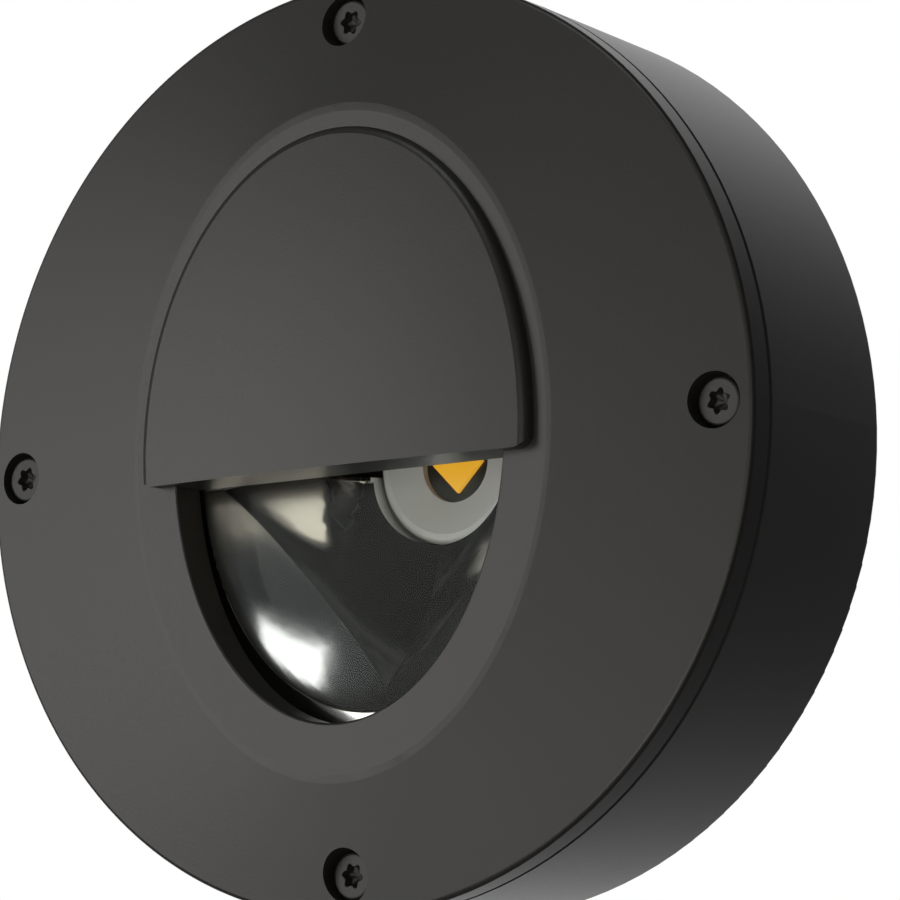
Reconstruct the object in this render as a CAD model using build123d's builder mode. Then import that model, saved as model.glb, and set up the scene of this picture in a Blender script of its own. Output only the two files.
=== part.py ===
"""Round eyelid wall light: a cast cup on the wall, a hooded cast cover, and the LED gear inside.

Lengths are in millimetres. The origin is the middle of the wall face, +Z is up and the light faces -Y.
Heights are measured from the wall towards the viewer.
"""
import math
import os

from build123d import *

os.makedirs("parts", exist_ok=True)

# Cup
BODY_DIAMETER = 150.0
WALL_DRAFT = 0.9
RIM_HEIGHT = 38.9
SEAM_DROP = 4.9
SEAM_GAP = 0.6
CUP_WALL = 3.2
FLOOR_THICKNESS = 3.0
BACK_EDGE_ROUND = 0.8
MOUTH_CHAMFER = 0.3

# Cover face: a slope that rises from the round rim to a flat oval, with a hood and the light opening
RIM_ROUND = 0.8
OVAL_SIDE_INSET = 34.15
OVAL_END_INSET = 21.4
OVAL_RISE = 3.7
OVAL_EDGE_ROUND = 8.0
HOOD_SIDE_MARGIN = 2.85
HOOD_END_MARGIN = 3.4
HOOD_RISE = 7.5
HOOD_DOME_RADIUS = 470.0
HOOD_LOWER_EDGE = -4.8
HOOD_CORNER = 3.0
HOOD_DRAFT = 2.0
HOOD_RIM_ROUND = 1.5
HOOD_TRIM = 0.5
HOOD_WALL = 4.4
HOOD_WEB = 2.5
OPENING_SIDE_MARGIN = 5.6
OPENING_END_MARGIN = 5.4
OPENING_EDGE_ROUND = 0.4
SEAT_DEPTH = 2.2
RECESS_INSET = 5.5
SPIGOT_WALL = 1.6
SPIGOT_DROP = 2.3
SPIGOT_CLEARANCE = 0.3

# Cover screws
SCREW_COUNT = 4
SCREW_INSET = 6.5
SCREW_SHANK = 3.9
SCREW_HEAD = 7.5
SCREW_HEAD_HEIGHT = 2.4
SCREW_HEAD_ROUND = 0.5
SCREW_HEAD_SINK = 0.7
SCREW_LENGTH = 14.0
LOBE_RECESS = 3.9
LOBE_RECESS_COUNT = 6
LOBE_RECESS_DEPTH = 1.7
LOBE_RECESS_CORE = 0.36
LOBE_RECESS_TIP = 0.12
COUNTERBORE = 8.7
SCREW_SEAL_THICKNESS = 0.6
COVER_BOSS = 10.4
HOUSING_BOSS = 10.0
THREAD_CLEARANCE = 0.3
THREAD_SPARE = 2.0

# Seals
SEAL_CLEARANCE = 0.15
COVER_SEAL_WIDTH = 1.5
COVER_SEAL_DEPTH = 1.5
WALL_SEAL_WIDTH = 5.0
WALL_SEAL_DEPTH = 1.5
WALL_SEAL_INSET = 3.5

# Pane and its clamp ring
GLASS_INSET = 4.5
GLASS_THICKNESS = 3.0
GLASS_CHAMFER = 0.4
GLASS_SEAL_THICKNESS = 0.8
GLASS_SEAL_MARGIN = 1.4
RETAINER_OVERLAP = 4.0
RETAINER_CLEARANCE = 0.5
RETAINER_THICKNESS = 1.5
RETAINER_SCREW_INSET = 4.0
RETAINER_SCREW_COUNT = 4
RETAINER_BOSS = 7.0

# Small fasteners
SMALL_SHANK = 2.9
SMALL_HEAD = 5.6
SMALL_HEAD_HEIGHT = 1.8
SMALL_HEAD_ROUND = 0.6
SMALL_SLOT_WIDTH = 0.8
SMALL_SLOT_DEPTH = 0.8
SMALL_LENGTH = 6.0
SMALL_CLEARANCE = 0.3

# LED on its pedestal
PEDESTAL_DIAMETER = 40.0
PAD_THICKNESS = 0.3
BOARD_DIAMETER = 21.0
BOARD_THICKNESS = 1.0
BOARD_CLEARANCE = 0.3
CHIP_SIZE = 7.0
CHIP_THICKNESS = 0.7
CHIP_TURN = 45.0
HOLDER_DIAMETER = 27.4
HOLDER_BORE = 13.1
HOLDER_HEIGHT = 4.7
HOLDER_RIM_WIDTH = 1.7
HOLDER_RIM_ROUND = 1.0
HOLDER_DISH_DEPTH = 2.1
HOLDER_EAR_OVERHANG = 2.5
HOLDER_EAR = 7.0
HOLDER_EAR_THICKNESS = 1.6
HOLDER_EAR_ANGLE = 38.0

# Reflector: a shallow oval bowl with two deeper lobes behind it
REFLECTOR_GAP = 0.3
REFLECTOR_WALL = 1.5
BOWL_SIDE_MARGIN = 2.4
BOWL_END_MARGIN = 2.2
BOWL_DEPTH = 14.0
LOBE_INSET = 7.0
LOBE_REACH = 11.7
LOBE_DEPTH = 27.8
LOBE_LIFT = 7.5
LED_DEPTH = 20.6
LOBE_SHIFT = 6.0
LOBE_TILT = 56.6
FLANGE_SIDE_BAND = 3.7
FLANGE_END_BAND = 5.9
FLANGE_THICKNESS = 1.2
TOP_EDGE = -3.7
TOP_TILT = 6.0
TOP_LEDGE = 0.6
TOP_LEDGE_THICKNESS = 0.6
COLLAR_WALL = 2.0
COLLAR_CLEARANCE = 0.3
EAR_REACH = 4.5
EAR_LEVEL = -10.0
EAR_DIAMETER = 8.0
EAR_SINK = 3.2
EAR_THICKNESS = 1.2
EAR_ROOT = 13.0

# Driver
DRIVER_LENGTH = 29.0
DRIVER_HEIGHT = 21.0
DRIVER_CENTRE = 38.0
DRIVER_CORNER = 1.8
DRIVER_EDGE_ROUND = 1.0
DRIVER_EAR_REACH = 4.2
DRIVER_EAR_RISE = 6.0
DRIVER_EAR = 8.0
DRIVER_EAR_THICKNESS = 2.4

# Supply block, earth, cable inlet and wall fixings
GEAR_BOSS = 8.0
GEAR_BOSS_HEIGHT = 4.0
BLOCK_WIDTH = 20.0
BLOCK_LENGTH = 25.0
BLOCK_HEIGHT = 13.0
BLOCK_STEP = 8.5
BLOCK_STEP_HEIGHT = 7.0
BLOCK_CORNER_GAP = 1.1
BLOCK_RISE = 3.0
BLOCK_EDGE_ROUND = 0.5
POLE_COUNT = 3
POLE_PITCH = 7.5
POLE_WELL = 4.4
POLE_WELL_DEPTH = 4.5
POLE_SCREW = 3.8
POLE_SCREW_HEIGHT = 3.0
POLE_INLET = 3.2
POLE_INLET_DEPTH = 5.0
POLE_INLET_RISE = 5.0
BLOCK_FIXING_PITCH = 14.0
BLOCK_FIXING_FLOOR = 3.0
EARTH_INSET = 21.8
EARTH_Z = -26.0
EARTH_BOSS = 10.0
EARTH_BOSS_HEIGHT = 5.0
EARTH_WASHER = 9.0
EARTH_WASHER_THICKNESS = 1.0
INLET_INSET = 23.8
INLET_Z = 26.0
INLET_HOLE = 14.0
INLET_BORE = 7.2
GROMMET_FLANGE = 19.0
GROMMET_FLANGE_THICKNESS = 2.0
GROMMET_NOSE = 12.0
GROMMET_NOSE_HEIGHT = 4.5
GROMMET_NOSE_TAPER = 10.0
GROMMET_CLEARANCE = 0.15
GROMMET_SET_BACK = 0.4
WALL_HOLE = 5.5
WALL_HOLE_PITCH = 104.0
WALL_PAD = 13.0
WALL_PAD_HEIGHT = 1.2

# Leads
LEAD_DIAMETER = 1.6
LEAD_PITCH = 5.0
LEAD_GAP = 0.1
LEAD_BEND_SHARE = 0.45
SUPPLY_LEAD_RUN = 5.0
LED_LEAD_RUN = 3.0
LED_LEAD_DROP = 2.0

# Worked out from the sizes above
BODY_RADIUS = BODY_DIAMETER / 2
BACK_RADIUS = BODY_RADIUS - WALL_DRAFT
CUP_RADIUS = BODY_RADIUS - CUP_WALL
SEAM_HEIGHT = RIM_HEIGHT - SEAM_DROP
HOUSING_MOUTH = SEAM_HEIGHT - SEAM_GAP / 2
COVER_BACK = SEAM_HEIGHT + SEAM_GAP / 2
COVER_SEAT = RIM_HEIGHT - SEAT_DEPTH
OVAL_HEIGHT = RIM_HEIGHT + OVAL_RISE
HOOD_CROWN = RIM_HEIGHT + HOOD_RISE
SPIGOT_RADIUS = CUP_RADIUS - SPIGOT_CLEARANCE
SPIGOT_BACK = COVER_BACK - SPIGOT_DROP
HOUSING_BOSS_TOP = SPIGOT_BACK - SPIGOT_CLEARANCE
OVAL_ACROSS = BODY_RADIUS - OVAL_SIDE_INSET
OVAL_ALONG = BODY_RADIUS - OVAL_END_INSET
HOOD_ACROSS = OVAL_ACROSS - HOOD_SIDE_MARGIN
HOOD_ALONG = OVAL_ALONG - HOOD_END_MARGIN
OPENING_ACROSS = HOOD_ACROSS - OPENING_SIDE_MARGIN
OPENING_ALONG = HOOD_ALONG - OPENING_END_MARGIN
SCREW_RING = BODY_RADIUS - SCREW_INSET
RECESS_RADIUS = SCREW_RING - RECESS_INSET
RETAINER_RADIUS = RECESS_RADIUS - RETAINER_CLEARANCE
RETAINER_RING = RETAINER_RADIUS - RETAINER_SCREW_INSET
GLASS_RADIUS = RETAINER_RING - GLASS_INSET
GLASS_FRONT = COVER_SEAT - GLASS_SEAL_THICKNESS
GLASS_BACK = GLASS_FRONT - GLASS_THICKNESS
RETAINER_BACK = GLASS_BACK - RETAINER_THICKNESS
RETAINER_INNER = GLASS_RADIUS - RETAINER_OVERLAP
HEAD_TOP = RIM_HEIGHT - SCREW_HEAD_SINK
HEAD_BASE = HEAD_TOP - SCREW_HEAD_HEIGHT
BORE_FLOOR = HEAD_BASE - SCREW_SEAL_THICKNESS
SCREW_TIP = HEAD_BASE - SCREW_LENGTH
SCREW_HOLE = SCREW_SHANK / 2 + THREAD_CLEARANCE
SMALL_HOLE = SMALL_SHANK / 2 + SMALL_CLEARANCE
COVER_SEAL_RADIUS = (BODY_RADIUS + CUP_RADIUS) / 2
WALL_SEAL_RADIUS = BACK_RADIUS - WALL_SEAL_INSET - WALL_SEAL_WIDTH / 2
FLANGE_FRONT = GLASS_BACK - REFLECTOR_GAP
HOLDER_TOP = FLANGE_FRONT - LED_DEPTH
PEDESTAL_HEIGHT = HOLDER_TOP - HOLDER_HEIGHT
BOARD_BASE = PEDESTAL_HEIGHT + PAD_THICKNESS
BOARD_TOP = BOARD_BASE + BOARD_THICKNESS
HOLDER_RADIUS = HOLDER_DIAMETER / 2
HOLDER_EAR_REACH = HOLDER_RADIUS + HOLDER_EAR_OVERHANG
EAR_TOP_OF_HOLDER = PEDESTAL_HEIGHT + HOLDER_EAR_THICKNESS
BOWL_ACROSS = OPENING_ACROSS + BOWL_SIDE_MARGIN
BOWL_ALONG = OPENING_ALONG - BOWL_END_MARGIN
LOBE_ACROSS = BOWL_ACROSS - LOBE_INSET
LOBE_ALONG = BOWL_ALONG + LOBE_REACH
FLANGE_ACROSS = BOWL_ACROSS + FLANGE_SIDE_BAND
FLANGE_ALONG = BOWL_ALONG + FLANGE_END_BAND
EAR_X = FLANGE_ACROSS + EAR_REACH
EAR_TOP = FLANGE_FRONT - EAR_SINK
EAR_BACK = EAR_TOP - EAR_THICKNESS
LED_HOLE = HOLDER_RADIUS + COLLAR_CLEARANCE
GEAR_SEAT = FLOOR_THICKNESS + GEAR_BOSS_HEIGHT
DRIVER_EAR_TOP = GEAR_SEAT + DRIVER_EAR_THICKNESS
DRIVER_LOWER = DRIVER_CENTRE - DRIVER_LENGTH / 2
BLOCK_Z = DRIVER_LOWER + BLOCK_RISE
BLOCK_OUTER = math.sqrt((CUP_RADIUS - BLOCK_CORNER_GAP) ** 2 - (BLOCK_Z + BLOCK_LENGTH / 2) ** 2)
BLOCK_X = BLOCK_WIDTH / 2 - BLOCK_OUTER
DRIVER_WIDTH = 2 * (BLOCK_OUTER - BLOCK_WIDTH - SUPPLY_LEAD_RUN)
DRIVER_EAR_X = DRIVER_WIDTH / 2 + DRIVER_EAR_REACH
DRIVER_EAR_Z = DRIVER_CENTRE + DRIVER_EAR_RISE
BLOCK_STEP_X = BLOCK_X - BLOCK_WIDTH / 2 + BLOCK_STEP / 2
BLOCK_POLE_X = BLOCK_X + BLOCK_STEP / 2
BLOCK_TOP = GEAR_SEAT + BLOCK_HEIGHT
BLOCK_FIXING_TOP = GEAR_SEAT + BLOCK_FIXING_FLOOR
POLE_SCREW_BASE = BLOCK_TOP - POLE_WELL_DEPTH
EARTH_X = CUP_RADIUS - EARTH_INSET
INLET_X = CUP_RADIUS - INLET_INSET
EARTH_SEAT = FLOOR_THICKNESS + EARTH_BOSS_HEIGHT
EARTH_WASHER_TOP = EARTH_SEAT + EARTH_WASHER_THICKNESS
WALL_SEAT = FLOOR_THICKNESS + WALL_PAD_HEIGHT
BEYOND = 2 * BODY_DIAMETER

# Turned profiles are drawn with the radius to the right and the height above the wall upwards.
PROFILE = Plane(origin=(0, 0, 0), x_dir=(1, 0, 0), z_dir=(0, 0, -1))
EARS = [(-EAR_X, EAR_LEVEL), (EAR_X, EAR_LEVEL)]
DRIVER_EARS = [(-DRIVER_EAR_X, DRIVER_EAR_Z), (DRIVER_EAR_X, DRIVER_EAR_Z)]
BLOCK_FIXINGS = [
    (BLOCK_STEP_X, BLOCK_Z - BLOCK_FIXING_PITCH / 2),
    (BLOCK_STEP_X, BLOCK_Z + BLOCK_FIXING_PITCH / 2),
]
POLES = [(BLOCK_POLE_X, BLOCK_Z + (pole - (POLE_COUNT - 1) / 2) * POLE_PITCH) for pole in range(POLE_COUNT)]
HOLDER_EAR_X = HOLDER_EAR_REACH * math.cos(math.radians(HOLDER_EAR_ANGLE))
HOLDER_EAR_Z = HOLDER_EAR_REACH * math.sin(math.radians(HOLDER_EAR_ANGLE))
HOLDER_EARS = [(-HOLDER_EAR_X, HOLDER_EAR_Z), (HOLDER_EAR_X, HOLDER_EAR_Z)]
WALL_HOLES = [(-WALL_HOLE_PITCH / 2, 0), (WALL_HOLE_PITCH / 2, 0)]
RETAINER_TURNS = [math.tau * (step + 1 / 2) / RETAINER_SCREW_COUNT for step in range(RETAINER_SCREW_COUNT)]
RETAINER_PLACES = [
    (RETAINER_RING * math.cos(turn), RETAINER_RING * math.sin(turn)) for turn in RETAINER_TURNS
]


def level(height):
    """The plane at a height above the wall, seen from the front with +Z up."""
    return Plane.XZ.offset(height)


def slotted_screws(places, seat, toward=1):
    """Small pan-head screws for the part being made, heads on a seat and facing the viewer or the wall."""
    head_top = seat + toward * SMALL_HEAD_HEIGHT
    with BuildSketch(level(seat)) as heads:
        with Locations(places):
            Circle(SMALL_HEAD / 2)
    with BuildSketch(level(seat)) as shanks:
        with Locations(places):
            Circle(SMALL_SHANK / 2)
    with BuildSketch(level(head_top)) as slots:
        with Locations(places):
            Rectangle(SMALL_HEAD, SMALL_SLOT_WIDTH)
    extrude(heads.sketch, amount=toward * SMALL_HEAD_HEIGHT)
    crowns = edges().group_by(Axis.Y)[0 if toward > 0 else -1]
    fillet(crowns, radius=SMALL_HEAD_ROUND)
    extrude(shanks.sketch, amount=-toward * SMALL_LENGTH)
    extrude(slots.sketch, amount=-toward * SMALL_SLOT_DEPTH, mode=Mode.SUBTRACT)


def opening_outline(margin):
    """The light opening: the lower part of an oval, closed above by the hood's straight edge."""
    with BuildSketch() as outline:
        Ellipse(OPENING_ACROSS + margin, OPENING_ALONG + margin)
        with Locations((0, HOOD_LOWER_EDGE + margin)):
            Rectangle(BEYOND, BEYOND, align=(Align.CENTER, Align.MIN), mode=Mode.SUBTRACT)
    return outline.sketch


def hood_outline(inset, lower_edge):
    """The hood: the upper part of an oval down to its straight lower edge, with eased corners."""
    with BuildSketch() as outline:
        Ellipse(HOOD_ACROSS - inset, HOOD_ALONG - inset)
        with Locations((0, lower_edge)):
            Rectangle(BEYOND, BEYOND, align=(Align.CENTER, Align.MAX), mode=Mode.SUBTRACT)
        fillet(outline.vertices(), radius=HOOD_CORNER)
    return outline.sketch


def bowl_form(grow):
    """The reflector's shallow oval bowl, grown by a wall."""
    with BuildPart() as form:
        Sphere(1)
        scale(by=(BOWL_ACROSS + grow, BOWL_DEPTH + grow, BOWL_ALONG + grow))
    return form.part.moved(Location((0, -FLANGE_FRONT, 0)))


def lobe_forms(grow):
    """The reflector's two deep lobes: ellipsoids on slanting axes, each kept on its side of the middle."""
    with BuildPart() as blank:
        Sphere(1)
        scale(by=(LOBE_ALONG + grow, LOBE_DEPTH + grow, LOBE_ACROSS + grow))
    place = Location((-LOBE_SHIFT, -FLANGE_FRONT - LOBE_LIFT, 0), (0, LOBE_TILT, 0))
    with BuildPart() as form:
        add(blank.part.moved(place))
        split(bisect_by=Plane.YZ, keep=Keep.BOTTOM)
        mirror(about=Plane.YZ)
    return form.part


# The cast cup: drafted wall, floor, bosses and posts in one piece
with BuildPart() as wall_housing:
    with BuildSketch(PROFILE):
        with BuildLine():
            Polyline(
                (0, 0),
                (BACK_RADIUS, 0),
                (BODY_RADIUS, HOUSING_MOUTH),
                (CUP_RADIUS, HOUSING_MOUTH),
                (CUP_RADIUS, FLOOR_THICKNESS),
                (0, FLOOR_THICKNESS),
                close=True,
            )
        make_face()
    revolve(axis=Axis.Y)
    rings = wall_housing.edges().filter_by(GeomType.CIRCLE)
    fillet(rings.sort_by(Axis.Y)[-1], radius=BACK_EDGE_ROUND)
    mouth = wall_housing.edges().filter_by(GeomType.CIRCLE).group_by(Axis.Y)[0]
    chamfer(mouth.sort_by(SortBy.RADIUS)[-1], length=MOUTH_CHAMFER)
    # Bosses of the cover screws, LED pedestal, reflector posts and seats of the gear
    with BuildSketch(level(FLOOR_THICKNESS)):
        with PolarLocations(SCREW_RING, SCREW_COUNT):
            Circle(HOUSING_BOSS / 2)
    extrude(amount=HOUSING_BOSS_TOP - FLOOR_THICKNESS)
    with BuildSketch(level(FLOOR_THICKNESS)):
        Circle(PEDESTAL_DIAMETER / 2)
    extrude(amount=PEDESTAL_HEIGHT - FLOOR_THICKNESS)
    with BuildSketch(level(FLOOR_THICKNESS)):
        with Locations(EARS):
            Circle(EAR_DIAMETER / 2)
    extrude(amount=EAR_BACK - FLOOR_THICKNESS)
    with BuildSketch(level(FLOOR_THICKNESS)):
        with Locations(DRIVER_EARS + BLOCK_FIXINGS):
            Circle(GEAR_BOSS / 2)
    extrude(amount=GEAR_BOSS_HEIGHT)
    with BuildSketch(level(FLOOR_THICKNESS)):
        with Locations((EARTH_X, EARTH_Z)):
            Circle(EARTH_BOSS / 2)
    extrude(amount=EARTH_BOSS_HEIGHT)
    with BuildSketch(level(FLOOR_THICKNESS)):
        with Locations(WALL_HOLES):
            Circle(WALL_PAD / 2)
    extrude(amount=WALL_PAD_HEIGHT)
    # Seal groove in the mouth and seal recess in the back
    with BuildSketch(level(HOUSING_MOUTH)):
        Circle(COVER_SEAL_RADIUS + COVER_SEAL_WIDTH / 2 + SEAL_CLEARANCE)
        Circle(COVER_SEAL_RADIUS - COVER_SEAL_WIDTH / 2 - SEAL_CLEARANCE, mode=Mode.SUBTRACT)
    extrude(amount=-COVER_SEAL_DEPTH, mode=Mode.SUBTRACT)
    with BuildSketch(level(0)):
        Circle(WALL_SEAL_RADIUS + WALL_SEAL_WIDTH / 2 + SEAL_CLEARANCE)
        Circle(WALL_SEAL_RADIUS - WALL_SEAL_WIDTH / 2 - SEAL_CLEARANCE, mode=Mode.SUBTRACT)
    extrude(amount=WALL_SEAL_DEPTH, mode=Mode.SUBTRACT)
    # Screw holes, each as deep as its screw reaches
    with BuildSketch(level(HOUSING_BOSS_TOP)):
        with PolarLocations(SCREW_RING, SCREW_COUNT):
            Circle(SCREW_HOLE)
    extrude(amount=SCREW_TIP - THREAD_SPARE - HOUSING_BOSS_TOP, mode=Mode.SUBTRACT)
    for places, seat in (
        (EARS, EAR_TOP),
        (HOLDER_EARS, EAR_TOP_OF_HOLDER),
        (DRIVER_EARS, DRIVER_EAR_TOP),
        (BLOCK_FIXINGS, BLOCK_FIXING_TOP),
        ([(EARTH_X, EARTH_Z)], EARTH_WASHER_TOP),
    ):
        with BuildSketch(level(seat)):
            with Locations(places):
                Circle(SMALL_HOLE)
        extrude(amount=-SMALL_LENGTH - SMALL_CLEARANCE, mode=Mode.SUBTRACT)
    # Wall fixing holes and cable inlet
    with BuildSketch(level(0)):
        with Locations(WALL_HOLES):
            Circle(WALL_HOLE / 2)
        with Locations((INLET_X, INLET_Z)):
            Circle(INLET_HOLE / 2)
    extrude(amount=WALL_SEAT, mode=Mode.SUBTRACT)

# The cover's hood: drafted wall and a domed face with a rounded rim
with BuildPart() as hood:
    with BuildSketch(level(HOOD_CROWN)):
        Ellipse(HOOD_ACROSS, HOOD_ALONG)
    extrude(amount=COVER_SEAT - HOOD_CROWN, taper=-HOOD_DRAFT)
    with Locations((0, HOOD_DOME_RADIUS - HOOD_CROWN, 0)):
        Sphere(HOOD_DOME_RADIUS, mode=Mode.INTERSECT)
    hood_rim = hood.faces().filter_by(GeomType.SPHERE)[0].edges()
    fillet(hood_rim, radius=HOOD_RIM_ROUND)
    with BuildSketch(level(COVER_SEAT)):
        add(hood_outline(-HOOD_TRIM, HOOD_LOWER_EDGE))
    extrude(amount=HOOD_CROWN - COVER_SEAT, mode=Mode.INTERSECT)

# The cast cover: sloping face, flat oval, hood and light opening
with BuildPart() as front_cover:
    with BuildSketch(level(RIM_HEIGHT)) as rim_outline:
        Circle(BODY_RADIUS)
    with BuildSketch(level(OVAL_HEIGHT)):
        Ellipse(OVAL_ACROSS, OVAL_ALONG)
    loft()
    oval_edge = front_cover.edges().group_by(Axis.Y)[0]
    fillet(oval_edge, radius=OVAL_EDGE_ROUND)
    extrude(rim_outline.sketch, amount=COVER_BACK - RIM_HEIGHT)
    rim = front_cover.edges().filter_by(GeomType.CIRCLE).sort_by(Axis.Y)[0]
    fillet(rim, radius=RIM_ROUND)
    with BuildSketch(level(COVER_BACK)):
        Ellipse(OPENING_ACROSS, OPENING_ALONG)
    extrude(amount=HOOD_CROWN - COVER_BACK, mode=Mode.SUBTRACT)
    opening_edge = front_cover.edges(Select.LAST).filter_by(Edge.is_closed).sort_by(Axis.Y)[0]
    fillet(opening_edge, radius=OPENING_EDGE_ROUND)
    add(hood.part)
    # Recess for the pane behind, pocket behind the hood, and the light opening
    with BuildSketch(level(COVER_BACK)):
        Circle(RECESS_RADIUS)
    extrude(amount=COVER_SEAT - COVER_BACK, mode=Mode.SUBTRACT)
    with BuildSketch(level(COVER_SEAT)):
        add(hood_outline(HOOD_WALL, HOOD_LOWER_EDGE + HOOD_WEB))
    extrude(amount=HOOD_CROWN - HOOD_WALL - COVER_SEAT, mode=Mode.SUBTRACT)
    with BuildSketch(level(COVER_SEAT)):
        add(opening_outline(0))
    extrude(amount=HOOD_CROWN - COVER_SEAT, mode=Mode.SUBTRACT)
    # Locating spigot, screw bosses and the bosses of the pane's clamp ring
    with BuildSketch(level(COVER_BACK)):
        Circle(SPIGOT_RADIUS)
        Circle(SPIGOT_RADIUS - SPIGOT_WALL, mode=Mode.SUBTRACT)
    extrude(amount=-SPIGOT_DROP)
    with BuildSketch(level(COVER_BACK)):
        with PolarLocations(SCREW_RING, SCREW_COUNT):
            Circle(COVER_BOSS / 2)
        Circle(SPIGOT_RADIUS, mode=Mode.INTERSECT)
    extrude(amount=-SPIGOT_DROP)
    with BuildSketch(level(COVER_SEAT)):
        with Locations(RETAINER_PLACES):
            Circle(RETAINER_BOSS / 2)
    extrude(amount=GLASS_BACK - COVER_SEAT)
    # Counterbores and holes of the cover screws, holes of the ring's screws
    with BuildSketch(level(BORE_FLOOR)):
        with PolarLocations(SCREW_RING, SCREW_COUNT):
            Circle(COUNTERBORE / 2)
    extrude(amount=HOOD_CROWN - BORE_FLOOR, mode=Mode.SUBTRACT)
    with BuildSketch(level(SPIGOT_BACK)):
        with PolarLocations(SCREW_RING, SCREW_COUNT):
            Circle(SCREW_HOLE)
    extrude(amount=BORE_FLOOR - SPIGOT_BACK, mode=Mode.SUBTRACT)
    with BuildSketch(level(GLASS_BACK)):
        with Locations(RETAINER_PLACES):
            Circle(SMALL_HOLE)
    extrude(amount=SMALL_LENGTH - RETAINER_THICKNESS + SMALL_CLEARANCE, mode=Mode.SUBTRACT)

# Seal in the parting line
with BuildPart() as cover_gasket:
    with BuildSketch(level(HOUSING_MOUTH - COVER_SEAL_DEPTH)):
        Circle(COVER_SEAL_RADIUS + COVER_SEAL_WIDTH / 2)
        Circle(COVER_SEAL_RADIUS - COVER_SEAL_WIDTH / 2, mode=Mode.SUBTRACT)
    extrude(amount=COVER_SEAL_DEPTH + SEAM_GAP)

# Flat-topped cover screws with six-lobe recesses
with BuildPart() as cover_screws:
    with BuildSketch(level(HEAD_BASE)):
        with PolarLocations(SCREW_RING, SCREW_COUNT):
            Circle(SCREW_HEAD / 2)
    extrude(amount=SCREW_HEAD_HEIGHT)
    fillet(cover_screws.edges().group_by(Axis.Y)[0], radius=SCREW_HEAD_ROUND)
    with BuildSketch(level(HEAD_BASE)):
        with PolarLocations(SCREW_RING, SCREW_COUNT):
            Circle(SCREW_SHANK / 2)
    extrude(amount=-SCREW_LENGTH)
    with BuildSketch(level(HEAD_TOP)):
        with PolarLocations(SCREW_RING, SCREW_COUNT):
            Circle(LOBE_RECESS * LOBE_RECESS_CORE)
            with PolarLocations(LOBE_RECESS * (1 / 2 - LOBE_RECESS_TIP), LOBE_RECESS_COUNT):
                Circle(LOBE_RECESS * LOBE_RECESS_TIP)
    extrude(amount=-LOBE_RECESS_DEPTH, mode=Mode.SUBTRACT)

# Washers that seal the cover screws
with BuildPart() as screw_seals:
    with BuildSketch(level(BORE_FLOOR)):
        with PolarLocations(SCREW_RING, SCREW_COUNT):
            Circle(SCREW_HEAD / 2)
            Circle(SCREW_HOLE, mode=Mode.SUBTRACT)
    extrude(amount=SCREW_SEAL_THICKNESS)

# Toughened round pane
with BuildPart() as front_glass:
    with BuildSketch(level(GLASS_BACK)):
        Circle(GLASS_RADIUS)
    extrude(amount=GLASS_THICKNESS)
    chamfer(front_glass.edges().filter_by(GeomType.CIRCLE), length=GLASS_CHAMFER)

# Flat seal of the pane, with a window round the opening
with BuildPart() as glass_gasket:
    with BuildSketch(level(GLASS_FRONT)):
        Circle(GLASS_RADIUS)
        add(opening_outline(GLASS_SEAL_MARGIN), mode=Mode.SUBTRACT)
    extrude(amount=GLASS_SEAL_THICKNESS)

# Stamped ring that clamps the pane to the cover
with BuildPart() as glass_retainer:
    with BuildSketch(level(RETAINER_BACK)):
        Circle(RETAINER_RADIUS)
        Circle(RETAINER_INNER, mode=Mode.SUBTRACT)
        with Locations(RETAINER_PLACES):
            Circle(SMALL_HOLE, mode=Mode.SUBTRACT)
    extrude(amount=RETAINER_THICKNESS)

# Lobed half-bowl reflector with flange, ears and a collar round the LED holder
top_slope = math.radians(TOP_TILT)
top_normal = (0, -math.sin(top_slope), math.cos(top_slope))
reflector_top = Plane(origin=(0, -FLANGE_FRONT, TOP_EDGE), x_dir=(1, 0, 0), z_dir=top_normal)
under_ledge = reflector_top.offset(-TOP_LEDGE_THICKNESS)
outer_forms = [bowl_form(REFLECTOR_WALL), lobe_forms(REFLECTOR_WALL)]
hollows = [split(form, bisect_by=under_ledge, keep=Keep.BOTTOM) for form in (bowl_form(0), lobe_forms(0))]
ledge_hollows = [bowl_form(-TOP_LEDGE), lobe_forms(-TOP_LEDGE)]

with BuildPart() as reflector:
    add(outer_forms)
    split(bisect_by=level(FLANGE_FRONT), keep=Keep.BOTTOM)
    with BuildSketch(level(FLANGE_FRONT)):
        Ellipse(FLANGE_ACROSS, FLANGE_ALONG)
    extrude(amount=-FLANGE_THICKNESS)
    with BuildSketch(level(PEDESTAL_HEIGHT)):
        Circle(LED_HOLE + COLLAR_WALL)
    extrude(amount=FLANGE_FRONT - BOWL_DEPTH - PEDESTAL_HEIGHT)
    with BuildSketch(level(EAR_TOP)):
        with Locations(EARS):
            Circle(EAR_DIAMETER / 2)
        for side in (-1, 1):
            with Locations((side * (EAR_X - EAR_ROOT / 2), EAR_LEVEL)):
                Rectangle(EAR_ROOT, EAR_DIAMETER)
        with Locations(EARS):
            Circle(SMALL_HOLE, mode=Mode.SUBTRACT)
    extrude(amount=-EAR_THICKNESS)
    # Hollow the bowl and the lobes, leaving a narrow ledge along the top edge
    add(hollows + ledge_hollows, mode=Mode.SUBTRACT)
    with BuildSketch(level(0)):
        Circle(LED_HOLE)
    extrude(amount=FLANGE_FRONT, mode=Mode.SUBTRACT)
    split(bisect_by=reflector_top, keep=Keep.BOTTOM)

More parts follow.
